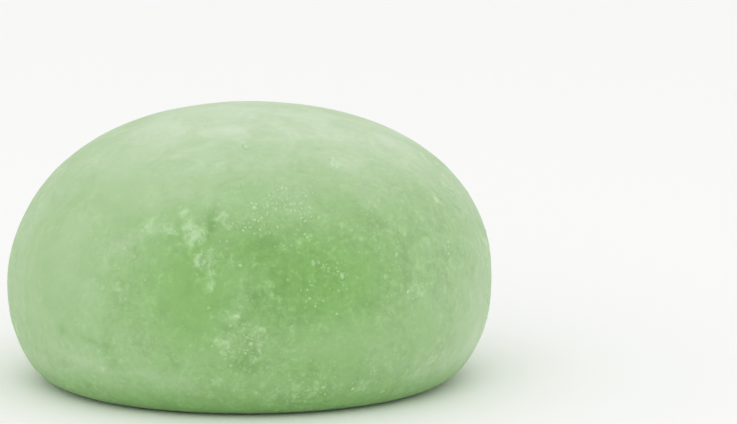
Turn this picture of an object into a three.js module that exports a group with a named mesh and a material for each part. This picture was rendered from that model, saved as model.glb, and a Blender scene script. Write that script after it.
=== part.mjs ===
// A whole mochi rice cake: one soft, low dome of rice dough that has settled under its own weight.
// Its widest ring, the waist, lies a little over a third of the way up. Above it the dough closes
// over in a full, slightly flattened crown; below it the side tucks in and rolls under to a flat
// base. It is a little uneven, as a hand-closed piece is. Millimetres, Z up, and the base on z = 0.

import * as THREE from "three";

// Driving dimensions
const WIDTH = 48; // across the waist, left to right
const DEPTH = 47.3; // across the waist, front to back
const HEIGHT = 27.3; // from the base to the crown
const WAIST_HEIGHT = 10.2; // from the base to the widest ring
const TUCK_DEPTH = 16.4; // below the waist, where the tucked-in side would close if nothing held it up
const FOOT_ROLL = 1.7; // how far the rolled foot reaches up the side and in along the base
const LEAN = 0.02; // sideways drift for each millimetre of height

// How full the two curves are: 2 is an ellipse, and more is squarer
const CROWN_FULLNESS = 2.15;
const TUCK_FULLNESS = 2.35;

// Gentle hollows and swellings from closing and handling the dough. turn is in degrees from +X,
// anticlockwise from above; height, reach and push are in millimetres, and push is outwards.
const HAND_MARKS = [
  { name: "left shoulder, flattened", turn: 184, height: 18.5, reach: 9, push: -0.22 },
  { name: "left waist, swollen", turn: 188, height: 9.5, reach: 7, push: 0.14 },
  { name: "crown, pressed on the right", turn: 20, height: 27, reach: 10, push: -0.2 },
  { name: "right side, swollen low down", turn: -6, height: 6.5, reach: 6, push: 0.12 },
  { name: "front, thumb hollow", turn: -109, height: 15.5, reach: 5, push: -0.24 },
  { name: "front, small low hollow", turn: -94, height: 6.5, reach: 4.5, push: -0.16 },
  { name: "back, finger hollow", turn: 66, height: 14.5, reach: 9, push: -0.42 },
  { name: "back left, swollen", turn: 128, height: 12, reach: 10, push: 0.3 },
];

// How finely the curves are divided
const STEPS_ROUND = 80;
const CROWN_STEPS = 20;
const TUCK_STEPS = 9;
const FOOT_STEPS = 4;
const BASE_RINGS = 3;

const WAIST_RADIUS = WIDTH / 2;
const QUARTER_TURN = Math.PI / 2;

// The crown's outline, from the top centre down to the waist: one quarter of a full ellipse.
function crownOutline() {
  const points = [];
  for (let i = 0; i <= CROWN_STEPS; i++) {
    const angle = QUARTER_TURN * (i / CROWN_STEPS);
    const across = WAIST_RADIUS * Math.sin(angle) ** (2 / CROWN_FULLNESS);
    const rise = (HEIGHT - WAIST_HEIGHT) * Math.max(Math.cos(angle), 0) ** (2 / CROWN_FULLNESS);
    points.push(new THREE.Vector2(i ? across : 0, WAIST_HEIGHT + rise));
  }
  return points;
}

// The radius of the side below the waist, at a height above the base.
function tuckRadius(height) {
  const share = (WAIST_HEIGHT - height) / TUCK_DEPTH;
  return WAIST_RADIUS * (1 - share ** TUCK_FULLNESS) ** (1 / TUCK_FULLNESS);
}

// The side from just below the waist down to where the foot starts to roll under.
function tuckOutline() {
  const points = [];
  for (let i = 1; i <= TUCK_STEPS; i++) {
    const height = WAIST_HEIGHT + (FOOT_ROLL - WAIST_HEIGHT) * (i / TUCK_STEPS);
    points.push(new THREE.Vector2(tuckRadius(height), height));
  }
  return points;
}

// The rolled foot, then the flat base in rings to the centre.
function footOutline() {
  const start = new THREE.Vector2(tuckRadius(FOOT_ROLL), FOOT_ROLL);
  const corner = new THREE.Vector2(tuckRadius(0), 0);
  const end = new THREE.Vector2(corner.x - FOOT_ROLL, 0);
  const roll = new THREE.QuadraticBezierCurve(start, corner, end).getPoints(FOOT_STEPS);
  const rings = [];
  for (let i = 1; i <= BASE_RINGS; i++) {
    rings.push(new THREE.Vector2(end.x * (1 - i / BASE_RINGS), 0));
  }
  return [...roll.slice(1), ...rings];
}

// The radius of the whole outline at a height, to put a hand mark on the surface.
function outlineRadius(height) {
  if (height <= WAIST_HEIGHT) return tuckRadius(height);
  const share = (height - WAIST_HEIGHT) / (HEIGHT - WAIST_HEIGHT);
  return WAIST_RADIUS * (1 - share ** CROWN_FULLNESS) ** (1 / CROWN_FULLNESS);
}

// Where a hand mark lies on the even dome, and the way it pushes: out from the middle of the waist.
function placeMark(mark) {
  const turn = THREE.MathUtils.degToRad(mark.turn);
  const radius = outlineRadius(mark.height);
  const middle = new THREE.Vector3(0, 0, WAIST_HEIGHT);
  const place = new THREE.Vector3(radius * Math.cos(turn), radius * Math.sin(turn), mark.height);
  return { ...mark, place, outwards: place.clone().sub(middle).normalize() };
}

// A mark's share of its push at a distance: all at the middle, falling smoothly to none at its reach.
function fade(distance, reach) {
  return 1 - THREE.MathUtils.smoothstep(distance, 0, reach);
}

// Moves each vertex of the even dome to its place on the uneven one. The base stays flat.
function shapeByHand(geometry) {
  const marks = HAND_MARKS.map(placeMark);
  const position = geometry.getAttribute("position");
  const even = new THREE.Vector3();
  const moved = new THREE.Vector3();
  for (let i = 0; i < position.count; i++) {
    even.fromBufferAttribute(position, i);
    moved.copy(even);
    for (const { place, outwards, reach, push } of marks) {
      moved.addScaledVector(outwards, push * fade(even.distanceTo(place), reach));
    }
    moved.y *= DEPTH / WIDTH;
    moved.x += LEAN * (even.z - WAIST_HEIGHT);
    moved.z = even.z > 0 ? Math.max(moved.z, 0) : 0;
    position.setXYZ(i, moved.x, moved.y, moved.z);
  }
}

// Sets the solid over the origin: the middle of its width and depth on the Z axis.
function centreOverOrigin(geometry) {
  geometry.computeBoundingBox();
  const centre = geometry.boundingBox.getCenter(new THREE.Vector3());
  geometry.translate(-centre.x, -centre.y, 0);
}

function makeMochi() {
  const outline = [...crownOutline(), ...tuckOutline(), ...footOutline()].reverse();
  const geometry = new THREE.LatheGeometry(outline, STEPS_ROUND);
  geometry.rotateX(QUARTER_TURN);
  shapeByHand(geometry);
  centreOverOrigin(geometry);
  const dough = new THREE.MeshStandardMaterial({ color: "#a3cd92", roughness: 0.85, metalness: 0 });
  const mochi = new THREE.Mesh(geometry, dough);
  mochi.name = "mochi";
  return mochi;
}

const group = new THREE.Group();
group.add(makeMochi());

export default group;
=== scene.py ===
"""A whole mochi rice cake: soft green rice dough, closed by hand and dusted with starch.

Run as a script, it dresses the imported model, which it loads as a fixed frame. Blender works in
metres here. A size in millimetres is written as a number times MM.
"""

import math
from collections import namedtuple

import bpy
import numpy as np
from bpy.props import FloatProperty, FloatVectorProperty, IntProperty, PointerProperty
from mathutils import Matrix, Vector, noise


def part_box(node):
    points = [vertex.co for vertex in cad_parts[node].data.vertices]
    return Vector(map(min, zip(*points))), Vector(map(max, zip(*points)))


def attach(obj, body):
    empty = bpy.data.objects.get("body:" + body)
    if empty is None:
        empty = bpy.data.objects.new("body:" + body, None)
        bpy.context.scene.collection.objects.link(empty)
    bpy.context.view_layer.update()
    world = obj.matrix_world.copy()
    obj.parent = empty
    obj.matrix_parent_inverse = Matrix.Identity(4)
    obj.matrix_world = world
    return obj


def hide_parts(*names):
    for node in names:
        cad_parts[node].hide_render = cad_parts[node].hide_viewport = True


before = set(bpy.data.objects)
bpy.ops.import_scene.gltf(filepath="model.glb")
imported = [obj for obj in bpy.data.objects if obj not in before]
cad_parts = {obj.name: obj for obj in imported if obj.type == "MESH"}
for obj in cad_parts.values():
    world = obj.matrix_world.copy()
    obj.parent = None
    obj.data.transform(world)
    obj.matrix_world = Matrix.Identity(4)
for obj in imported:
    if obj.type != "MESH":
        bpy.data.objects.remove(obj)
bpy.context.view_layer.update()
MOCHI_LOW, MOCHI_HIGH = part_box("mochi")

bl_info = {
    "name": "Dusted Mochi",
    "version": (1, 0, 0),
    "blender": (4, 5, 0),
    "location": "3D View > Sidebar > Mochi",
    "description": "Models a whole mochi rice cake with its dusting of starch, on a pale stage",
    "category": "Add Mesh",
}

MM = 0.001

# The photograph's frame, and the mochi's place and scale in it
PHOTO_WIDTH_PX = 737
PHOTO_HEIGHT_PX = 424
MOCHI_MIDDLE_PX = (249.4, 237.9)
MOCHI_SPAN_PX = 483
MOCHI_WIDTH = 48 * MM
MOCHI_MIDDLE = Vector((0, 0, 14 * MM))
SENSOR_WIDTH_MM = 36

# The middle of the dough, from which its skin is drawn: a little under half way up
DOUGH_CORE = Vector((0, 0, 11 * MM))

# A place on the mochi has a turn, in degrees from +X anticlockwise from above, and a height.
# A smear is a streak or patch of starch: its length runs at a slope, in degrees above the level
# line to the right, and its strength says how thickly the starch lies. Sizes are millimetres.
Smear = namedtuple("Smear", "name turn height length width slope strength")
FRONT_SMEARS = [
    Smear("bright patch, left of the middle", -104.0, 18.2, 2.8, 2.9, 75, 0.77),
    Smear("streak above the bright patch", -106.8, 20.0, 3.6, 1.1, 115, 0.46),
    Smear("piece left of the bright patch", -110.2, 18.4, 2.8, 1.5, 20, 0.52),
    Smear("faint broad patch, nearer the middle", -116.3, 18.6, 3.6, 2.0, 35, 0.35),
    Smear("patch below the bright one", -98.6, 15.5, 3.6, 2.9, 80, 0.61),
    Smear("rim of the patch below", -101.4, 15.9, 1.8, 0.9, 75, 0.70),
    Smear("patch below, its right part", -96.1, 16.5, 2.0, 1.8, 30, 0.44),
    Smear("crumbs above the patch below", -96.0, 19.6, 2.4, 1.8, 20, 0.54),
    Smear("tail of the patch below", -98.0, 13.8, 2.4, 1.0, 100, 0.60),
    Smear("rising streak, low in the middle", -91.0, 12.0, 5.6, 1.8, 40, 0.31),
    Smear("rising streak, its low end", -94.9, 10.7, 2.4, 1.0, 10, 0.55),
    Smear("rising streak, its lower edge", -90.0, 11.6, 3.6, 0.8, 50, 0.50),
    Smear("crumbly patch, low", -94.2, 8.0, 2.8, 2.2, 60, 0.52),
    Smear("crumbly patch, low and right", -87.1, 8.3, 2.6, 1.8, 45, 0.46),
    Smear("tail of the crumbly patches", -87.1, 6.3, 2.4, 0.9, 80, 0.45),
    Smear("short streak on the crown", -89.7, 25.2, 1.5, 0.6, 70, 0.55),
    Smear("small patch on the right shoulder", -56.6, 23.7, 2.4, 1.4, 70, 0.80),
    Smear("steep streak, right shoulder", -27.4, 19.4, 3.0, 0.8, -60, 0.45),
    Smear("mottle along the foot, first", -77.3, 2.5, 2.4, 1.0, 70, 0.42),
    Smear("mottle along the foot, second", -73.0, 2.7, 2.6, 1.2, 65, 0.44),
    Smear("mottle along the foot, third", -66.5, 2.8, 2.8, 1.2, 110, 0.46),
    Smear("mottle along the foot, fourth", -59.5, 3.0, 3.6, 1.4, 20, 0.44),
    Smear("mottle along the foot, left of the middle", -97.5, 4.2, 3.6, 1.4, -30, 0.34),
    Smear("grainy patch, right", -46.0, 12.5, 5.0, 2.6, 10, 0.24),
    Smear("faint edge of the left veil", -122.0, 12.6, 6.0, 1.2, -80, 0.30),
]

# Soft bands in the film; here the strength is the share that they hide more, or less if negative
FILM_BANDS = [
    Smear("left veil", -119.3, 17.6, 6.5, 1.3, 27, 0.07),
    Smear("left veil, its lower end", -126.5, 14.8, 3.5, 1.4, 60, 0.05),
    Smear("arc on the crown, left", -113.0, 24.9, 5.0, 0.9, 40, 0.09),
    Smear("arc on the crown, middle", -104.0, 26.2, 6.0, 2.0, 12, 0.12),
    Smear("band on the crown, right", -76.0, 25.8, 9.0, 1.0, 0, 0.05),
    Smear("band on the crown, far right", -50.0, 25.6, 7.0, 2.2, -18, 0.04),
    Smear("thin place under the crown's bands", -86.0, 22.9, 11.0, 4.4, 0, -0.05),
    Smear("faint sweep, right of the patch below", -89.0, 16.0, 7.0, 0.8, 24, 0.03),
    Smear("faint sweep, under the first", -86.5, 14.9, 6.0, 0.6, 27, 0.03),
    Smear("line above the foot, left", -134.0, 4.9, 7.0, 1.0, -12, 0.08),
    Smear("line along the foot, left", -114.0, 4.4, 7.5, 1.0, -5, 0.08),
    Smear("pale foot, left of the middle", -105.0, 3.1, 4.4, 2.2, 0, 0.10),
    Smear("pale foot in the middle", -82.2, 2.6, 3.0, 1.8, 0, 0.08),
    Smear("pale foot, right", -40.0, 3.4, 4.0, 1.6, 20, 0.05),
    Smear("rising streak, low in the middle", -91.0, 12.0, 6.4, 2.2, 40, 0.02),
]

# Damp gaps between the patches, where the green is deeper
DAMP_GAPS = [
    Smear("deep green in the middle", -83.0, 16.6, 7.5, 4.0, 12, 0.60),
    Smear("deep green, low in the middle", -82.0, 12.4, 5.0, 2.6, 20, 0.45),
    Smear("right of the bright patch", -99.6, 19.2, 3.6, 1.0, 80, 1.0),
    Smear("left of the patch below", -102.8, 14.6, 3.4, 0.9, 80, 0.5),
    Smear("above the crumbly patches", -92.2, 9.8, 2.4, 1.2, 10, 1.0),
    Smear("below the crumbly patches", -90.0, 6.4, 1.9, 1.4, 0, 1.0),
    Smear("under the middle", -85.0, 12.6, 3.8, 1.2, 20, 0.8),
    Smear("above the foot, left", -129.3, 7.4, 3.0, 1.1, -10, 0.7),
    Smear("above the foot, far left", -138.2, 7.6, 2.0, 0.9, -10, 0.5),
    Smear("foot, right of the middle", -81.5, 2.2, 1.6, 0.8, 60, 0.8),
]

# Where separate beads of starch crowd; here the strength is how closely they lie
BEAD_CROWDS = [
    Smear("upper middle, left", -81.0, 20.9, 3.6, 2.2, -12, 1.0),
    Smear("upper middle, right", -76.0, 20.2, 3.2, 1.7, -14, 1.0),
    Smear("above the upper middle", -77.0, 21.9, 5.0, 1.6, -10, 0.25),
    Smear("upper middle, scattered left and down", -87.0, 19.3, 5.0, 2.6, -20, 0.22),
    Smear("lone bead under them", -73.2, 17.7, 0.7, 0.5, 120, 1.0),
    Smear("chain right of the middle, upper end", -72.4, 15.4, 2.4, 0.5, -35, 1.0),
    Smear("chain right of the middle, lower end", -67.4, 14.2, 2.4, 1.2, -30, 1.0),
    Smear("below the chain", -67.3, 13.0, 1.4, 0.8, 0, 0.8),
    Smear("belly, short streaks", -78.2, 14.2, 2.6, 0.6, 30, 0.3),
    Smear("belly, low on the right", -75.0, 12.8, 2.8, 1.4, -60, 0.5),
    Smear("edge of the lower patch", -101.2, 15.9, 1.8, 0.8, 110, 0.5),
    Smear("over the bright patch", -105.2, 18.6, 2.6, 2.0, 60, 0.15),
    Smear("left of the middle, low", -101.5, 12.2, 3.4, 1.4, -20, 0.12),
    Smear("low, left of the middle", -89.0, 10.0, 2.6, 0.9, 35, 0.5),
    Smear("crumbly patches, low", -92.0, 8.0, 4.4, 2.4, 30, 0.35),
    Smear("right shoulder", -56.6, 23.7, 1.4, 1.6, 0, 0.6),
    Smear("dash on the right shoulder", -31.6, 15.6, 1.2, 0.4, 60, 0.9),
    Smear("right flank", -46.0, 12.0, 6.0, 2.6, 20, 0.12),
    Smear("foot, right of the middle", -71.0, 2.9, 8.0, 1.5, 4, 0.22),
    Smear("streak on the crown", -89.0, 25.2, 1.4, 0.4, 70, 0.9),
]

# A broad place fades out over its reach: so far across and so far up, in millimetres
Broad = namedtuple("Broad", "name turn height across up amount")

# Where handling has rubbed the dough nearly bare
RUBBED_PLACES = [
    Broad("belly, right of the middle", -74, 14.0, 12.0, 8.0, 1.00),
    Broad("belly, left of the middle", -102, 13.5, 7.0, 9.0, 0.90),
    Broad("belly, high in the middle", -86, 16.6, 6.0, 4.0, 0.98),
    Broad("belly, far left", -118, 12.0, 4.0, 3.5, 0.50),
    Broad("front, above the foot", -80, 5.0, 16.0, 5.0, 0.60),
    Broad("back, where a palm held it", 84, 11.0, 11.0, 6.5, 0.75),
    Broad("left side, where a finger pressed", 158, 13.0, 6.0, 5.0, 0.55),
    Broad("right side, towards the back", 32, 9.5, 7.0, 5.0, 0.60),
]

# Where the film lies thicker than elsewhere, and on the low right flank a thicker film that is
# painted light; the amount is the share that it hides in addition
DUSTED_AND_LIT_PLACES = [
    # Painted light: the low right flank, which the lamps leave dimmer, is lightened with a thicker
    # film
    Broad("right flank", -14, 6.0, 7.0, 7.0, 0.19),
    Broad("right shoulder, towards the back", -12, 20.5, 5.0, 5.0, 0.09),
    Broad("left of the middle, high", -110, 21.2, 4.5, 2.4, 0.05),
    Broad("crown, towards the back on the right", -10, 24.5, 9.0, 5.0, 0.10),
]

# Where the starch has rolled up into crumbs; the amount is how closely they lie
CRUMBLY_PLACES = [
    Broad("upper middle", -81, 20.6, 6.0, 2.4, 0.90),
    Broad("upper middle, left", -95, 19.5, 3.0, 2.6, 0.70),
    Broad("right of the middle, high", -56, 19.5, 6.0, 3.0, 0.35),
    Broad("right of the middle", -52, 13.0, 6.5, 2.6, 0.30),
    Broad("low in the middle", -92, 9.0, 4.0, 3.0, 0.35),
    Broad("foot, right of the middle", -76, 3.6, 9.0, 2.4, 0.50),
    Broad("under the left veil", -121, 13.8, 2.8, 3.2, 0.45),
    Broad("low, left of the middle", -103, 5.5, 3.0, 2.4, 0.40),
    Broad("back, under the crown", 95, 18.0, 8.0, 4.0, 0.45),
    Broad("right side, low", 20, 7.0, 6.0, 4.0, 0.40),
    Broad("left side, high", 170, 17.0, 6.0, 4.0, 0.40),
]

# Where the film lies smooth, with hardly a crumb in it
CALM_PLACES = [
    Broad("belly, between the patches", -104.5, 13.6, 2.4, 3.0, 0.70),
    Broad("left flank", -147, 14.0, 9.0, 9.0, 1.00),
    Broad("left shoulder", -134, 21.0, 9.0, 5.0, 0.85),
    Broad("right of the middle, low", -66, 8.0, 4.0, 2.6, 0.55),
    Broad("right, low", -45, 8.0, 6.0, 4.5, 0.60),
    Broad("right flank, low", -19, 6.0, 7.0, 7.0, 0.90),
    Broad("right flank, towards the back", 5, 14.0, 8.0, 8.0, 0.60),
    Broad("left side, towards the back", 140, 9.0, 8.0, 7.0, 0.60),
    Broad("back, right shoulder", 60, 19.0, 8.0, 6.0, 0.70),
]

# The bottom of the side, which the dusting board has wiped. The film thickens again over a range
# of heights, from the share that is left at the very foot.
WIPED_HEIGHT = 2.6 * MM
FILM_RETURNS = (0.2 * MM, WIPED_HEIGHT + 1.6 * MM)
FOOT_FILM = 0.1

# How far up the skin has to face, as the upright share of its normal, before starch stays on it
CROWN_STARTS = 0.46

# The heights between which the flat base passes into the side, and the lowest lump of starch
BASE_FADES = (0.05 * MM, 2.5 * MM)
LOWEST_LUMP = 0.6 * MM

# Over what distance the starch changes: its broad drifts, the wobble in the rims of its patches
# and the clusters of its lumps. The wobble shifts a rim by up to half a millimetre.
DRIFT_SIZE = 9 * MM
WOBBLE_SIZE = 1.6 * MM
WOBBLE_REACH_MM = 0.55
CLUSTER_SIZE = 2.2 * MM

# How much the drifts change the film, and the power that joins the crown's film to the side's
FILM_DRIFT = 0.15
JOINING_POWER = 4

# How readily starch clumps away from every smear, and how much the drifts change that
CLUMP_START = 0.07
CLUMP_DRIFT = 0.1

# How strongly painted shade darkens the foot, and the share of the film that damp and this shade take
# away
FOOT_SHADE = 0.25
DAMP_AND_SHADE_LOSS = 0.5

# Smears and crowds on the sides that the photograph doesn't show: how many, their greatest
# length and width, and the range of their strengths
UNSEEN_SMEARS = (60, (7, 2.8), (0.2, 0.6))
UNSEEN_CROWDS = (24, (5, 2), (0.2, 0.9))

# Where they lie, how steeply, and their sizes as shares of the greatest
UNSEEN_TURNS = (-15, 195)
UNSEEN_HEIGHTS = (3, 26.5)
UNSEEN_SLOPES = (-80, 80)
UNSEEN_SIZES = (0.3, 1.0)

# Wiping strokes in the film: how steeply they rise to the right, and how much longer than wide
STROKE_SLOPE = math.radians(28)
STROKE_STRETCH = 8.0

# How strongly a crumb lightens the green under it, how strongly damp gaps, the painted shade on the
# foot and the pools deepen it, and how strongly the rolled crumbs whiten it
CRUMB_TONE = 0.85
DAMP_AND_SHADE_TONE = 0.35
POOL_TONE = 0.2
ROLLED_TONE = 0.15

# How high the relief of the crumbs stands on the dough, and the powder's on a lump
CRUMB_RELIEF = 0.035 * MM
POWDER_RELIEF = 0.02 * MM

# The two kinds of separate lumps: how much their radii vary, how finely they are divided, and
# how dry their tops are
LumpKind = namedtuple("LumpKind", "layer spread segments rings dryness")
FINE_GRAINS = LumpKind("fine grains", 0.35, 6, 3, (0.08, 0.30))
LARGE_BEADS = LumpKind("beads", 0.32, 8, 4, (0.10, 0.42))

# A lump's length and height as shares of its width, how far its corners stand in and out, and how
# far it may lie from the middle of its face
LUMP_LENGTHS = (1.0, 1.6)
LUMP_HEIGHTS = (0.3, 0.5)
LUMP_CORNERS = (0.75, 1.15)
LUMP_SHIFT_MM = 0.12

# How far a lump's middle lies under the skin, as a share of half the lump's height
SUNK_SHARE = 0.4

# The stage in metres. The soft light is a little to the left of the camera and above it.
FLOOR_SIZE = 6
SOFTBOX_PLACE = (-0.08, -0.55, 0.45)
SOFTBOX_SIZE = 0.7


def linear_colour(hex_value):
    """Turns an sRGB hex colour into the linear one that shaders take."""
    channels = []
    for start in (1, 3, 5):
        encoded = int(hex_value[start:start + 2], 16) / 255
        if encoded <= 0.04045:
            channels.append(encoded / 12.92)
        else:
            channels.append(((encoded + 0.055) / 1.055) ** 2.4)
    return (*channels, 1.0)


def colour_property(name, description, hex_value):
    """A colour that a user may change, given as an sRGB hex value."""
    return FloatVectorProperty(
        name=name, description=description, subtype="COLOR", size=4,
        min=0.0, max=1.0, default=linear_colour(hex_value),
    )


def length_property(name, description, default):
    """A length that a user may change, in metres."""
    return FloatProperty(
        name=name, description=description, subtype="DISTANCE", unit="LENGTH",
        min=0.0, precision=5, default=default,
    )


def share_property(name, description, default):
    """A share from 0 to 1 that a user may change."""
    return FloatProperty(
        name=name, description=description, subtype="FACTOR", min=0.0, max=1.0, default=default,
    )


class MochiDoughSettings(bpy.types.PropertyGroup):
    halvings: IntProperty(
        name="Halvings", description="How often each edge of the starting cube is cut in half",
        min=3, max=7, default=7,
    )
    smoothing: IntProperty(
        name="Smoothing", description="Passes that round off the solid's flat faces",
        min=0, default=48,
    )
    knead_size: length_property(
        "Knead size", "Distance between the soft swells that closing the dough leaves", 7 * MM)
    knead_height: length_property("Knead height", "Height of the soft swells", 0.16 * MM)
    pucker_size: length_property("Pucker size", "Distance between the skin's small puckers", 1.7 * MM)
    pucker_height: length_property("Pucker height", "Height of the small puckers", 0.03 * MM)
    dough_deep: colour_property("Deep dough", "Green of the bare dough in its pores", "#6d9c4d")
    dough_mean: colour_property("Mean dough", "Green of the dough as a whole", "#7cb05a")
    dough_pale: colour_property("Pale dough", "Green of the bare dough between them", "#8cc367")


class MochiStarchSettings(bpy.types.PropertyGroup):
    crown_veil: share_property("Crown veil", "Share of the crown that the film hides", 0.458)
    side_veil: share_property("Side veil", "Share of the side that the film hides", 0.245)
    rubbed_veil: share_property("Rubbed veil", "Share that it hides where the dough is rubbed", 0.02)
    crust: length_property("Crust", "Thickness of the starch where it lies thickest", 0.05 * MM)
    grain_radius: length_property("Grain radius", "Middling radius of a fine grain", 0.06 * MM)
    grains: IntProperty(
        name="Grains", description="How many fine grains lie on the dough", min=0, default=4500)
    bead_radius: length_property("Bead radius", "Middling radius of a large bead", 0.18 * MM)
    beads: IntProperty(
        name="Beads", description="How many large beads lie on the dough", min=0, default=700)
    seed: IntProperty(name="Seed", description="Start of every random draw", default=11)
    starch: colour_property("Starch", "White of the dry starch in the film", "#f1f7e9")
    damp_starch: colour_property("Damp starch", "Pale green of starch in damp patches", "#e2fad4")
    bead: colour_property("Bead", "Pale green of a bead of starch that has soaked", "#d6f8be")


class MochiStageSettings(bpy.types.PropertyGroup):
    floor: colour_property("Floor", "Colour of the floor", "#fbfbfa")
    sky: FloatProperty(name="Sky", description="Brightness of the white all round", default=0.94)
    softbox: FloatProperty(
        name="Softbox", description="Power of the soft light above the camera", subtype="POWER",
        default=0.62,
    )
    elevation: FloatProperty(
        name="Elevation", description="How far above the level the camera looks from",
        subtype="ANGLE", unit="ROTATION", default=math.radians(10.1),
    )
    distance: length_property("Distance", "From the camera to the mochi's middle", 600 * MM)


def deselect_all():
    """Leaves no object selected."""
    bpy.ops.object.select_all(action="DESELECT")


def select_only(piece):
    """Selects one object and makes it the active one."""
    deselect_all()
    piece.select_set(True)
    bpy.context.view_layer.objects.active = piece


def edit_all():
    """Opens the active mesh for editing, with all of it selected."""
    bpy.ops.object.mode_set(mode="EDIT")
    bpy.ops.mesh.select_all(action="SELECT")


def apply_modifier(piece, kind, settings):
    """Adds a modifier of that kind with its settings, and applies it."""
    modifier = piece.modifiers.new(kind.title(), kind)
    for name, value in settings.items():
        setattr(modifier, name, value)
    bpy.context.view_layer.objects.active = piece
    bpy.ops.object.modifier_apply(modifier=modifier.name)


def add_node(tree, kind, inputs=None, **settings):
    """Adds a node with its settings, and gives each named input a value or a link."""
    node = tree.nodes.new(kind)
    for name, value in settings.items():
        setattr(node, name, value)
    for name, value in (inputs or {}).items():
        if isinstance(value, bpy.types.NodeSocket):
            tree.links.new(value, node.inputs[name])
        else:
            node.inputs[name].default_value = value
    return node


def new_material(name):
    """An empty node material, its tree and its output node."""
    material = bpy.data.materials.new(name)
    material.use_nodes = True
    tree = material.node_tree
    tree.nodes.clear()
    return material, tree, add_node(tree, "ShaderNodeOutputMaterial")


def join_shader(tree, output, inputs):
    """Adds the Principled shader with those inputs and joins it to the material's output."""
    shader = add_node(tree, "ShaderNodeBsdfPrincipled", inputs)
    tree.links.new(shader.outputs["BSDF"], output.inputs["Surface"])


# The numbers of a colour Mix node's sockets, which share their names with hidden ones
MIX_FACTOR, MIX_A, MIX_B, MIX_RESULT = 0, 6, 7, 2


def mix_colours(tree, factor, first, second):
    """The first colour where the factor is 0 and the second where it is 1."""
    mix = add_node(
        tree, "ShaderNodeMix", {MIX_FACTOR: factor, MIX_A: first, MIX_B: second}, data_type="RGBA")
    return mix.outputs[MIX_RESULT]


def calculate(tree, operation, *terms):
    """The result of a Math node that takes the terms in turn."""
    node = add_node(tree, "ShaderNodeMath", dict(enumerate(terms)), operation=operation)
    return node.outputs["Value"]


def add_shares(tree, start, *parts):
    """The start with a share of each pattern added to it. A part is a pattern and its share."""
    total = start
    for pattern, share in parts:
        total = calculate(tree, "MULTIPLY_ADD", pattern, share, total)
    return total


def centred(tree, pattern):
    """A pattern that runs from 0 to 1, shifted so that its middle is 0."""
    return calculate(tree, "SUBTRACT", pattern, 0.5)


def stored_value(tree, name):
    """The number with that name which the mesh keeps for its vertices."""
    return add_node(tree, "ShaderNodeAttribute", attribute_name=name).outputs["Fac"]


def noise_pattern(tree, coordinates, size, detail, roughness=0.5, distortion=0.0):
    """Noise whose blobs are about that size, in metres, from 0 to 1."""
    node = add_node(tree, "ShaderNodeTexNoise", {
        "Vector": coordinates, "Scale": 1 / size, "Detail": detail, "Roughness": roughness,
        "Distortion": distortion,
    })
    return node.outputs["Fac"]


def smooth_step(tree, value, low, high):
    """0 at low, 1 at high, and a smooth change between them."""
    node = add_node(
        tree, "ShaderNodeMapRange", {"Value": value, "From Min": low, "From Max": high},
        interpolation_type="SMOOTHSTEP",
    )
    return node.outputs["Result"]


def crumb_dots(tree, place, size, closeness, unevenness):
    """Soft round dots, one at most to a cell of that size, more of them as closeness rises.

    A dot's radius is drawn from 0.18 to 0.48 of its cell.
    """
    cells = add_node(tree, "ShaderNodeTexVoronoi", {"Vector": place, "Scale": 1 / size})
    draw = add_node(tree, "ShaderNodeSeparateColor", {"Color": cells.outputs["Color"]})
    radius = calculate(tree, "MULTIPLY_ADD", draw.outputs["Red"], 0.30, 0.18)
    apart = calculate(tree, "DIVIDE", cells.outputs["Distance"], radius)
    apart = calculate(tree, "ADD", apart, unevenness)
    dot = smooth_step(tree, apart, 1.05, 0.45)
    shown = calculate(tree, "SUBTRACT", closeness, draw.outputs["Green"])
    return calculate(tree, "MULTIPLY", dot, smooth_step(tree, shown, 0.0, 0.25))


def dough_green(tree, dough, place, graininess, crumbs_apart, pools):
    """The bare dough: a mottle of pores and paler skin, from 1.5 mm down to 0.1 mm.

    Crumbs lighten it; damp gaps, the painted shade on the foot and the pools deepen it.
    """
    mottle = noise_pattern(tree, place, 1.5 * MM, detail=4, roughness=0.7, distortion=0.3)
    mottle_share = calculate(tree, "MULTIPLY_ADD", graininess, 0.7, 0.3)
    tone = add_shares(
        tree, 0.5, (centred(tree, mottle), mottle_share), (crumbs_apart, CRUMB_TONE),
        (stored_value(tree, "damp_and_foot_shade"), -DAMP_AND_SHADE_TONE), (pools, -POOL_TONE))
    return mix_colours(tree, tone, tuple(dough.dough_deep), tuple(dough.dough_pale))


def starch_film(tree, place, graininess, crumbs_apart, pools):
    """The share of the green that the film of starch hides, with painted light on the low right
    flank.

    It lies in drifts of 5 mm and in sheets of about that size with ragged borders, and has faint
    strokes where the hand has wiped it, rising to the right.
    """
    drifts = noise_pattern(tree, place, 5 * MM, detail=2)
    sheets = noise_pattern(tree, place, 4.5 * MM, detail=5, roughness=0.62, distortion=0.4)
    wiped = add_node(tree, "ShaderNodeMapping", {
        "Vector": place, "Rotation": (0.0, -STROKE_SLOPE, 0.0), "Scale": (STROKE_STRETCH, 1.0, 1.0),
    }, vector_type="TEXTURE")
    strokes = noise_pattern(tree, wiped.outputs["Vector"], 0.6 * MM, detail=2, roughness=0.6)
    strokes_apart = calculate(tree, "MULTIPLY", centred(tree, strokes), graininess)
    uneven = add_shares(
        tree, 0.775, (drifts, 0.3), (smooth_step(tree, sheets, 0.44, 0.56), 0.15),
        (strokes_apart, 0.6), (crumbs_apart, 0.5), (pools, -0.2))
    return calculate(tree, "MULTIPLY", stored_value(tree, "dusting"), uneven)


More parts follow.
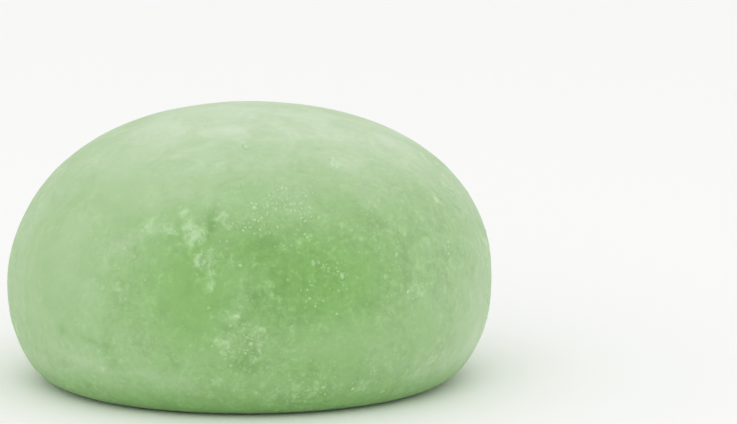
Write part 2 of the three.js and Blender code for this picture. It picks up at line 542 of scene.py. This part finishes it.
def ragged_clumps(tree, place, graininess, crumbs):
    """Ragged patches of starch about 1 mm across, with loose crumbs round them.

    They are thin towards their edges and thick in the middle.
    """
    clumping = stored_value(tree, "clumping")
    patches = noise_pattern(tree, place, 1.5 * MM, detail=5, roughness=0.62, distortion=0.5)
    ragged = add_shares(tree, clumping, (patches, 1.6), (crumbs, 0.5))
    crumbling = add_shares(tree, crumbs, (clumping, 0.30), (graininess, 0.10))
    thin = smooth_step(tree, ragged, 1.18, 1.58)
    thick = smooth_step(tree, ragged, 1.44, 1.74)
    loose = smooth_step(tree, crumbling, 0.68, 0.86)
    return add_shares(tree, 0.0, (thin, 0.12), (thick, 0.165), (loose, 0.08))


def rolled_crumbs(tree, place, crumbs):
    """Separate soft lumps of starch, from about 0.1 mm to 0.6 mm across, with ragged rims."""
    crumbliness = stored_value(tree, "crumbliness")
    ragged_rim = calculate(tree, "MULTIPLY_ADD", crumbs, 1.6, -0.8)
    large = crumb_dots(tree, place, 0.8 * MM, crumbliness, ragged_rim)
    small = crumb_dots(tree, place, 0.45 * MM, crumbliness, ragged_rim)
    return calculate(tree, "ADD", large, small)


def dough_material(dough, starch):
    """Steamed rice dough under dusted starch.

    The dough is a wet, slightly see-through gel, so light enters it and softens its shading. The
    starch lies on it in a film too fine to see and in clumps of a few tenths of a millimetre,
    which hide its green and take away its shine.
    """
    material, tree, output = new_material("rice dough, steamed, rolled and dusted with potato starch")
    place = add_node(tree, "ShaderNodeTexCoord").outputs["Object"]
    graininess = stored_value(tree, "graininess")

    # Crumbs: real starch grains are 0.02 mm, and cling in short crooked crumbs of about 0.6 mm
    crumbs = noise_pattern(tree, place, 0.6 * MM, detail=2, distortion=0.6)
    crumbs_apart = calculate(tree, "MULTIPLY", centred(tree, crumbs), graininess)

    # Damp pools: blotches of about 2.5 mm that have drunk up the starch, so the green is deeper
    pools = noise_pattern(tree, place, 2.5 * MM, detail=4, roughness=0.6, distortion=0.5)
    pools = calculate(tree, "MULTIPLY", smooth_step(tree, pools, 0.49, 0.62), graininess)

    green = dough_green(tree, dough, place, graininess, crumbs_apart, pools)
    film = starch_film(tree, place, graininess, crumbs_apart, pools)
    veiled = mix_colours(tree, film, green, tuple(starch.starch))
    rolled = rolled_crumbs(tree, place, crumbs)
    clumps = add_shares(
        tree, ragged_clumps(tree, place, graininess, crumbs), (rolled, ROLLED_TONE))
    colour = mix_colours(tree, clumps, veiled, tuple(starch.damp_starch))

    cover = calculate(tree, "ADD", film, clumps)
    roughness = calculate(tree, "MULTIPLY_ADD", cover, 0.5, 0.55)
    relief = add_shares(tree, crumbs_apart, (clumps, 2.0), (rolled, 0.9))
    bump = add_node(tree, "ShaderNodeBump", {
        "Height": relief, "Strength": 1.0, "Distance": CRUMB_RELIEF})
    join_shader(tree, output, {
        "Base Color": colour, "Roughness": roughness, "Normal": bump.outputs["Normal"],
        "IOR": 1.4, "Subsurface Weight": 0.2, "Subsurface Radius": (1.0, 1.0, 0.5),
        "Subsurface Scale": 0.9 * MM, "Sheen Weight": 0.12, "Sheen Roughness": 0.6,
    })
    return material


def grain_material(dough, starch):
    """Potato starch in grains and beads: a matt powder that has drawn green water from the dough,
    the more so the thinner it lies."""
    material, tree, output = new_material("potato starch, clumped by damp dough")
    place = add_node(tree, "ShaderNodeTexCoord").outputs["Object"]
    powder = noise_pattern(tree, place, 0.1 * MM, detail=2)
    dry = add_shares(tree, stored_value(tree, "dryness"), (powder, 0.1))
    soaked = mix_colours(
        tree, stored_value(tree, "dusting"), tuple(dough.dough_mean), tuple(starch.starch))
    colour = mix_colours(tree, dry, soaked, tuple(starch.bead))
    bump = add_node(tree, "ShaderNodeBump", {
        "Height": powder, "Strength": 0.4, "Distance": POWDER_RELIEF})
    join_shader(tree, output, {
        "Base Color": colour, "Roughness": 0.95, "Normal": bump.outputs["Normal"],
        "Subsurface Weight": 0.3, "Subsurface Radius": (1.0, 1.0, 0.7),
        "Subsurface Scale": 0.2 * MM,
    })
    return material


def floor_material(stage):
    """Matt white card: painted evenly, so it gives no reflection."""
    material, tree, output = new_material("matt card")
    place = add_node(tree, "ShaderNodeTexCoord").outputs["Object"]
    fibres = noise_pattern(tree, place, 2 * MM, detail=2)
    roughness = calculate(tree, "MULTIPLY_ADD", fibres, 0.1, 0.85)
    join_shader(tree, output, {
        "Base Color": tuple(stage.floor), "Roughness": roughness})
    return material


def merged_copy(node, name):
    """A copy of a CAD node whose loose triangles are joined into one skin."""
    copy = node.copy()
    copy.data = node.data.copy()
    copy.name = name
    copy.parent = None
    bpy.context.scene.collection.objects.link(copy)
    select_only(copy)
    edit_all()
    bpy.ops.mesh.remove_doubles(threshold=0.001 * MM)
    bpy.ops.object.mode_set(mode="OBJECT")
    return copy


def add_quad_ball(name, centre, radius, halvings):
    """A ball of even quads: a cube whose faces are halved and rounded out again and again."""
    deselect_all()
    bpy.ops.mesh.primitive_cube_add(size=radius, location=(0, 0, 0))
    ball = bpy.context.active_object
    ball.name = name
    bpy.ops.object.mode_set(mode="EDIT")
    for _ in range(halvings):
        bpy.ops.mesh.select_all(action="SELECT")
        bpy.ops.mesh.subdivide(number_cuts=1)
        bpy.ops.transform.tosphere(value=1.0)
    bpy.ops.object.mode_set(mode="OBJECT")
    reached = ball.data.vertices[0].co.length
    edit_all()
    bpy.ops.transform.resize(value=(radius / reached,) * 3, center_override=(0, 0, 0))
    bpy.ops.transform.translate(value=centre)
    bpy.ops.object.mode_set(mode="OBJECT")
    return ball


def fit_to_box(piece, low, high):
    """Sizes a piece in edit mode so that its box is the one given."""
    points = mesh_vectors(piece.data)
    own_low = Vector(points.min(axis=0))
    own_high = Vector(points.max(axis=0))
    size = [(high[i] - low[i]) / (own_high[i] - own_low[i]) for i in range(3)]
    select_only(piece)
    edit_all()
    bpy.ops.transform.translate(value=low - own_low)
    bpy.ops.transform.resize(value=size, center_override=low)
    bpy.ops.object.mode_set(mode="OBJECT")


def mesh_vectors(mesh, kind="co"):
    """The places or the normals of a mesh's vertices, one row each."""
    values = np.empty(len(mesh.vertices) * 3, np.float32)
    if kind == "normal":
        mesh.vertex_normals.foreach_get("vector", values)
    else:
        mesh.vertices.foreach_get("co", values)
    return values.reshape(-1, 3)


def smooth_share(values, low, high):
    """0 below low, 1 above high, and a smooth rise between them."""
    share = np.clip((values - low) / (high - low), 0, 1)
    return share * share * (3 - 2 * share)


def above_base(heights):
    """1 on the side and crown, and a smooth fall to 0 on the flat base."""
    return smooth_share(heights, *BASE_FADES)


def add_swells(piece, name, size, height, depth):
    """Soft swells over the whole skin, from a clouds pattern, faded out towards the flat base."""
    clouds = bpy.data.textures.new(name, "CLOUDS")
    clouds.noise_scale = size
    clouds.noise_depth = depth
    apply_modifier(piece, "DISPLACE", {
        "texture": clouds, "texture_coords": "LOCAL", "strength": height, "mid_level": 0.5,
        "vertex_group": "above the base",
    })
    bpy.data.textures.remove(clouds)


def mark_above_base(piece):
    """Adds a vertex group that is full on the side and crown and fades to nothing on the base."""
    group = piece.vertex_groups.new(name="above the base")
    for index, share in enumerate(above_base(mesh_vectors(piece.data)[:, 2])):
        group.add([index], float(share), "REPLACE")


class SkinMap:
    """Finds places on the skin by turn and height, and how far every vertex lies from them."""

    def __init__(self, mesh):
        self.points = mesh_vectors(mesh)
        self.normals = mesh_vectors(mesh, "normal")
        self.turns = np.arctan2(self.points[:, 1], self.points[:, 0])
        self.radii = np.hypot(self.points[:, 0], self.points[:, 1])

    def vertex_at(self, turn, height):
        """The vertex of the side or crown nearest a turn in degrees and a height in millimetres."""
        apart = self.turns - math.radians(turn)
        apart = np.abs((apart + math.pi) % (2 * math.pi) - math.pi)
        miss = (apart * self.radii) ** 2 + (self.points[:, 2] - height * MM) ** 2
        return int(np.argmin(miss))

    def axes_at(self, vertex, slope):
        """Unit vectors along and across a smear that lies there at a slope in degrees."""
        normal = Vector(self.normals[vertex])
        level = Vector((0, 0, 1)).cross(normal)
        if level.length < 0.01:
            level = Vector((1, 0, 0))
        level.normalize()
        upward = normal.cross(level)
        angle = math.radians(slope)
        along = math.cos(angle) * level + math.sin(angle) * upward
        return along, normal.cross(along)

    def nearness(self, turn, height, length, width, slope=0.0, warp=None):
        """1 at the place and less away from it, over an oval of that length and width in mm."""
        vertex = self.vertex_at(turn, height)
        along, across = self.axes_at(vertex, slope)
        offsets = self.points - self.points[vertex]
        if warp is not None:
            offsets = offsets + warp
        lengthwise = offsets @ np.array(along) / (length * MM / 2)
        crosswise = offsets @ np.array(across) / (width * MM / 2)
        same_side = smooth_share(self.normals @ self.normals[vertex], 0.0, 0.4)
        return same_side * np.exp(-(lengthwise ** 2 + crosswise ** 2))

    def near_smear(self, smear, warp):
        """1 in the middle of a smear and less away from it. The warp wobbles its rim."""
        return self.nearness(smear.turn, smear.height, smear.length, smear.width, smear.slope, warp)


def noise_places(points, size, seed):
    """Where the points lie in the noise, which is another part of it for every seed."""
    shift = Vector((seed, 2.3 * seed, -1.7 * seed))
    return [Vector(point) / size + shift for point in points]


def noise_vectors(points, size, seed):
    """A smooth random vector for every point, which changes over about that size.

    Left alone, noise_vector starts from the clock, so it is given the seed.
    """
    noise.seed_set(seed)
    return np.array([noise.noise_vector(place) for place in noise_places(points, size, seed)])


def noise_values(points, size, seed, octaves=4):
    """A smooth random value for every point, about -1 to 1, with finer and finer parts."""
    fading, refining = 0.8, 2.0
    return np.array([
        noise.fractal(place, fading, refining, octaves)
        for place in noise_places(points, size, seed)])


def broad_cover(skin, places):
    """How much of the amounts of the broad places each vertex has: the largest of them."""
    cover = np.zeros(len(skin.points))
    for place in places:
        near = skin.nearness(place.turn, place.height, 2 * place.across, 2 * place.up)
        cover = np.maximum(cover, place.amount * near)
    return cover


def random_smears(draws, count, sizes, strengths):
    """Smears at random over the sides, the crown and the back, which the photograph doesn't show."""
    longest, widest = sizes
    return [
        Smear(
            "unseen side", draws.uniform(*UNSEEN_TURNS), draws.uniform(*UNSEEN_HEIGHTS),
            draws.uniform(*UNSEEN_SIZES) * longest, draws.uniform(*UNSEEN_SIZES) * widest,
            draws.uniform(*UNSEEN_SLOPES), draws.uniform(*strengths))
        for _ in range(count)
    ]


def film_cover(skin, starch, drift, warp, rubbed, facing_up):
    """The share of the green that the dry film hides at every vertex, and painted light on the right
    flank.
    """
    on_crown = starch.crown_veil * facing_up * (1 - 0.15 * rubbed)
    on_side = starch.rubbed_veil + (starch.side_veil - starch.rubbed_veil) * (1 - rubbed)
    film = (on_crown ** JOINING_POWER + on_side ** JOINING_POWER) ** (1 / JOINING_POWER)
    film = (film + broad_cover(skin, DUSTED_AND_LIT_PLACES)) * (1 + FILM_DRIFT * drift)
    for band in FILM_BANDS:
        film += band.strength * skin.near_smear(band, warp)
    return film * (FOOT_FILM + (1 - FOOT_FILM) * smooth_share(skin.points[:, 2], *FILM_RETURNS))


def spread_starch(skin, starch):
    """Works out how the starch lies at every vertex.

    The film's share, with painted light on the low right flank, how readily starch clumps, how grainy
    the film is, how damp the dough is with painted shade on its foot, how closely crumbs have rolled
    up, how closely the fine grains lie and how closely the beads do.
    """
    drift = noise_values(skin.points, DRIFT_SIZE, starch.seed)
    warp = noise_vectors(skin.points, WOBBLE_SIZE, starch.seed + 2) * WOBBLE_REACH_MM * MM
    cluster = noise_values(skin.points, CLUSTER_SIZE, starch.seed + 2, octaves=3)
    rubbed = broad_cover(skin, RUBBED_PLACES)
    calm = broad_cover(skin, CALM_PLACES)
    facing_up = np.clip((skin.normals[:, 2] - CROWN_STARTS) / (1 - CROWN_STARTS), 0, 1)
    film = film_cover(skin, starch, drift, warp, rubbed, facing_up)

    draws = np.random.default_rng(starch.seed)
    clumping = (CLUMP_START + CLUMP_DRIFT * drift - CLUMP_START * rubbed) * (1 - calm)
    for smear in FRONT_SMEARS + random_smears(draws, *UNSEEN_SMEARS):
        near = skin.near_smear(smear, warp)
        clumping = np.maximum(clumping, CLUMP_DRIFT * drift * (1 - calm) + smear.strength * near)

    # Painted shade darkens the foot up to an uneven line: it deepens the green and thins the film
    # there
    foot_shade_line = 2 * WIPED_HEIGHT * (1 + 0.4 * drift)
    damp_and_foot_shade = 1 - smooth_share(skin.points[:, 2], 0.5 * MM, foot_shade_line)
    damp_and_foot_shade *= FOOT_SHADE * (1 - 0.5 * calm)
    for gap in DAMP_GAPS:
        damp_and_foot_shade = np.maximum(damp_and_foot_shade, gap.strength * skin.near_smear(gap, warp))
    film *= 1 - DAMP_AND_SHADE_LOSS * damp_and_foot_shade

    # Fine grains lie in clusters and in the clumps. Beads lie in clusters on the side.
    graininess = (0.8 + 0.3 * drift) * (1 - calm) * (1 - 0.85 * facing_up)
    fine = 0.10 + 0.5 * smooth_share(cluster, 0.1, 0.7) + smooth_share(clumping, 0.2, 0.7)
    beads = (0.006 + 0.05 * smooth_share(cluster, 0.4, 0.9)) * (1 - facing_up) * (1 - calm)
    for crowd in BEAD_CROWDS + random_smears(draws, *UNSEEN_CROWDS):
        beads = np.maximum(beads, crowd.strength * skin.near_smear(crowd, 0.4 * warp))
    crumbliness = 0.18 * graininess + 0.4 * smooth_share(beads, 0.1, 0.6)
    crumbliness += broad_cover(skin, CRUMBLY_PLACES) * (1 + 0.5 * drift)
    return {
        "dusting": np.clip(film, 0, 1),
        "clumping": np.clip(clumping, 0, 1),
        "graininess": np.clip(graininess, 0, 1),
        "damp_and_foot_shade": damp_and_foot_shade,
        "crumbliness": np.clip(crumbliness, 0, 1),
        "fine grains": fine * (1 - 0.8 * calm),
        "beads": beads,
    }


def store_values(mesh, name, values):
    """Keeps one number for each vertex, for the material and the scattering to read."""
    attribute = mesh.attributes.new(name, "FLOAT", "POINT")
    attribute.data.foreach_set("value", np.asarray(values, np.float32))


def raise_crust(mesh, skin, clumping, thickness):
    """Lifts the skin by the thickness of the starch that lies on it, but not on the base."""
    above = above_base(skin.points[:, 2])
    lift = (thickness * smooth_share(clumping, 0.15, 0.7) * above)[:, None]
    moved = skin.points + skin.normals * lift
    mesh.vertices.foreach_set("co", moved.astype(np.float32).ravel())
    mesh.update()


def set_as_piece(piece, material, replaced_node=None):
    """Shades a finished piece smooth, gives it its material and sets it on the part's body."""
    select_only(piece)
    bpy.ops.object.shade_smooth()
    piece.data.materials.clear()
    piece.data.materials.append(material)
    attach(piece, "root")
    if replaced_node:
        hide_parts(replaced_node)


class MOCHI_OT_model_dough(bpy.types.Operator):
    """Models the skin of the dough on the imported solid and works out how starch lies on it"""
    bl_idname = "mochi.model_dough"
    bl_label = "Model Dough"

    def execute(self, context):
        dough = context.scene.mochi_dough
        starch = context.scene.mochi_starch
        solid = merged_copy(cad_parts["mochi"], "solid copy")
        reach = (MOCHI_HIGH - MOCHI_LOW).length
        skin = add_quad_ball("mochi_dough", DOUGH_CORE, reach, dough.halvings)
        apply_modifier(skin, "SHRINKWRAP", {
            "target": solid, "wrap_method": "PROJECT", "use_negative_direction": True,
            "use_positive_direction": False,
        })
        apply_modifier(skin, "SMOOTH", {"factor": 0.5, "iterations": dough.smoothing})
        fit_to_box(skin, MOCHI_LOW, MOCHI_HIGH)
        bpy.data.objects.remove(solid)

        mark_above_base(skin)
        add_swells(skin, "kneading", dough.knead_size, dough.knead_height, 2)
        add_swells(skin, "puckers", dough.pucker_size, dough.pucker_height, 3)
        skin.vertex_groups.clear()

        skin_map = SkinMap(skin.data)
        layers = spread_starch(skin_map, starch)
        for name, values in layers.items():
            store_values(skin.data, name, values)
        raise_crust(skin.data, skin_map, layers["clumping"], starch.crust)
        set_as_piece(skin, dough_material(dough, starch), "mochi")
        return {"FINISHED"}


def lump_shape(segments, rings):
    """The corners and the three-sided faces of a round lump of radius 1.

    The faces come in no fixed order, so they are sorted, and every run gives the same mesh.
    """
    deselect_all()
    bpy.ops.mesh.primitive_uv_sphere_add(
        segments=segments, ring_count=rings, radius=1.0, location=(0, 0, 0))
    lump = bpy.context.active_object
    edit_all()
    bpy.ops.mesh.quads_convert_to_tris(quad_method="FIXED")
    bpy.ops.object.mode_set(mode="OBJECT")
    corners = mesh_vectors(lump.data)
    faces = np.array([tuple(face.vertices) for face in lump.data.polygons])
    bpy.data.objects.remove(lump)
    return corners, np.unique(faces, axis=0)


class SkinFaces:
    """The faces of the skin, on which lumps of starch are scattered."""

    def __init__(self, mesh):
        count = len(mesh.polygons)
        self.mesh = mesh
        self.areas = np.empty(count, np.float32)
        centres = np.empty(count * 3, np.float32)
        normals = np.empty(count * 3, np.float32)
        corners = np.empty(count * 4, np.int32)
        mesh.polygons.foreach_get("area", self.areas)
        mesh.polygons.foreach_get("center", centres)
        mesh.polygons.foreach_get("normal", normals)
        mesh.polygons.foreach_get("vertices", corners)
        self.centres = centres.reshape(-1, 3)
        self.normals = normals.reshape(-1, 3)
        self.corners = corners.reshape(-1, 4)

    def values(self, name):
        """The mean over each face of a number that the mesh keeps for its vertices."""
        values = np.empty(len(self.mesh.vertices), np.float32)
        self.mesh.attributes[name].data.foreach_get("value", values)
        return values[self.corners].mean(axis=1)

    def draw(self, draws, name, count):
        """Faces drawn at random, as likely as the number with that name says, clear of the base."""
        likely = self.areas * self.values(name)
        likely[self.centres[:, 2] < LOWEST_LUMP] = 0
        return draws.choice(len(likely), count, p=likely / likely.sum())


def scatter_lumps(skin, draws, chosen, shape, radius, spread):
    """Lays a flat lump, more than half sunk, on each chosen face. Gives their corners and faces."""
    corners, faces = shape
    count = len(chosen)
    normal = skin.normals[chosen]
    sideways = np.cross(normal, draws.normal(size=normal.shape))
    sideways /= np.linalg.norm(sideways, axis=1)[:, None]
    forwards = np.cross(normal, sideways)
    wide = radius * np.exp(draws.normal(0, spread, count))
    long = wide * draws.uniform(*LUMP_LENGTHS, count)
    tall = wide * draws.uniform(*LUMP_HEIGHTS, count)
    shift = draws.uniform(-LUMP_SHIFT_MM, LUMP_SHIFT_MM, (count, 2)) * MM
    middle = skin.centres[chosen] + sideways * shift[:, :1] + forwards * shift[:, 1:]
    middle -= SUNK_SHARE * normal * tall[:, None]
    lumpy = draws.uniform(*LUMP_CORNERS, (count, len(corners), 1))
    places = (
        middle[:, None]
        + lumpy * corners[:, 0, None] * (sideways * long[:, None])[:, None]
        + lumpy * corners[:, 1, None] * (forwards * wide[:, None])[:, None]
        + lumpy * corners[:, 2, None] * (normal * tall[:, None])[:, None])
    offsets = np.arange(count)[:, None, None] * len(corners)
    return places.reshape(-1, 3), (faces[None] + offsets).reshape(-1, 3)


class MOCHI_OT_scatter_grains(bpy.types.Operator):
    """Scatters fine grains and large beads of starch over the dough"""
    bl_idname = "mochi.scatter_grains"
    bl_label = "Scatter Grains"

    def execute(self, context):
        starch = context.scene.mochi_starch
        skin = SkinFaces(bpy.data.objects["mochi_dough"].data)
        beneath = skin.values("dusting") + 0.3 * smooth_share(skin.values("clumping"), 0.3, 0.8)
        draws = np.random.default_rng(starch.seed + 5)
        kinds = (
            (FINE_GRAINS, starch.grains, starch.grain_radius),
            (LARGE_BEADS, starch.beads, starch.bead_radius),
        )
        places, faces, dusting, dryness = [], [], [], []
        made = 0
        for kind, count, radius in kinds:
            shape = lump_shape(kind.segments, kind.rings)
            chosen = skin.draw(draws, kind.layer, count)
            crowded = np.clip(skin.values(kind.layer)[chosen], 0, 1)
            lump_places, lump_faces = scatter_lumps(
                skin, draws, chosen, shape, radius * (0.8 + 0.4 * crowded), kind.spread)
            places.append(lump_places)
            faces.append(lump_faces + made)
            made += len(lump_places)
            corners = shape[0]
            dusting.append(np.repeat(beneath[chosen], len(corners)))
            # A lump is soaked where it meets the dough and driest on top
            dry_top = np.clip((corners[:, 2] - SUNK_SHARE) * 2, 0, 1)
            dryness.append(np.outer(draws.uniform(*kind.dryness, count), dry_top).ravel())
        grain_mesh = bpy.data.meshes.new("starch_grains")
        grain_mesh.from_pydata(np.concatenate(places), [], np.concatenate(faces))
        grains = bpy.data.objects.new("starch_grains", grain_mesh)
        context.scene.collection.objects.link(grains)
        store_values(grain_mesh, "dusting", np.concatenate(dusting))
        store_values(grain_mesh, "dryness", np.concatenate(dryness))
        set_as_piece(grains, grain_material(context.scene.mochi_dough, starch))
        return {"FINISHED"}


def add_softbox(stage):
    """A round soft light that is aimed at the mochi, and that the camera doesn't see."""
    bpy.ops.object.light_add(type="AREA", location=SOFTBOX_PLACE)
    light = bpy.context.active_object
    light.name = "softbox"
    light.data.shape = "DISK"
    light.data.size = SOFTBOX_SIZE
    light.data.energy = stage.softbox
    light.rotation_euler = (MOCHI_MIDDLE - light.location).to_track_quat("-Z", "Y").to_euler()
    light.visible_camera = False


def add_camera(stage):
    """A camera that gives the mochi its place and scale in the photograph's frame."""
    millimetre_px = MOCHI_SPAN_PX / (MOCHI_WIDTH / MM)
    right = (PHOTO_WIDTH_PX / 2 - MOCHI_MIDDLE_PX[0]) / millimetre_px * MM
    upward = (MOCHI_MIDDLE_PX[1] - PHOTO_HEIGHT_PX / 2) / millimetre_px * MM
    tilt = stage.elevation
    backward = Vector((0, -math.cos(tilt), math.sin(tilt)))
    screen_up = Vector((0, math.sin(tilt), math.cos(tilt)))
    aim = MOCHI_MIDDLE + Vector((right, 0, 0)) + upward * screen_up
    bpy.ops.object.camera_add(
        location=aim + stage.distance * backward, rotation=(math.radians(90) - tilt, 0, 0))
    camera = bpy.context.active_object
    frame_width_mm = PHOTO_WIDTH_PX / millimetre_px
    camera.data.sensor_width = SENSOR_WIDTH_MM
    camera.data.lens = SENSOR_WIDTH_MM * (stage.distance / MM) / frame_width_mm
    camera.data.clip_start = 10 * MM
    return camera


class MOCHI_OT_set_stage(bpy.types.Operator):
    """Sets the pale floor, the soft light and the camera at the photograph's angle"""
    bl_idname = "mochi.set_stage"
    bl_label = "Set Stage"

    def execute(self, context):
        stage = context.scene.mochi_stage
        deselect_all()
        bpy.ops.mesh.primitive_plane_add(size=FLOOR_SIZE, location=(0, 0, 0))
        floor = context.active_object
        floor.name = "floor"
        floor.data.materials.append(floor_material(stage))

        world = bpy.data.worlds.new("studio white")
        world.use_nodes = True
        background = world.node_tree.nodes["Background"]
        background.inputs["Color"].default_value = (1.0, 1.0, 1.0, 1.0)
        background.inputs["Strength"].default_value = stage.sky
        context.scene.world = world

        add_softbox(stage)
        context.scene.camera = add_camera(stage)
        context.scene.view_settings.view_transform = "Standard"
        return {"FINISHED"}


class MOCHI_PT_panel(bpy.types.Panel):
    """Lists the steps that build the mochi, and their sizes and colours"""
    bl_idname = "MOCHI_PT_panel"
    bl_label = "Mochi"
    bl_space_type = "VIEW_3D"
    bl_region_type = "UI"
    bl_category = "Mochi"

    def draw(self, context):
        scene = context.scene
        steps = (
            ("mochi.model_dough", scene.mochi_dough),
            ("mochi.scatter_grains", scene.mochi_starch),
            ("mochi.set_stage", scene.mochi_stage),
        )
        for operator, settings in steps:
            box = self.layout.box()
            box.operator(operator)
            for name in settings.__annotations__:
                box.prop(settings, name)


SETTINGS = {
    "mochi_dough": MochiDoughSettings,
    "mochi_starch": MochiStarchSettings,
    "mochi_stage": MochiStageSettings,
}
CLASSES = (
    *SETTINGS.values(), MOCHI_OT_model_dough, MOCHI_OT_scatter_grains, MOCHI_OT_set_stage,
    MOCHI_PT_panel,
)


def register():
    for kind in CLASSES:
        bpy.utils.register_class(kind)
    for name, kind in SETTINGS.items():
        setattr(bpy.types.Scene, name, PointerProperty(type=kind))


def unregister():
    for name in SETTINGS:
        delattr(bpy.types.Scene, name)
    for kind in reversed(CLASSES):
        bpy.utils.unregister_class(kind)


def main():
    register()
    bpy.ops.mochi.model_dough()
    bpy.ops.mochi.scatter_grains()
    bpy.ops.mochi.set_stage()


if __name__ == "__main__":
    main()
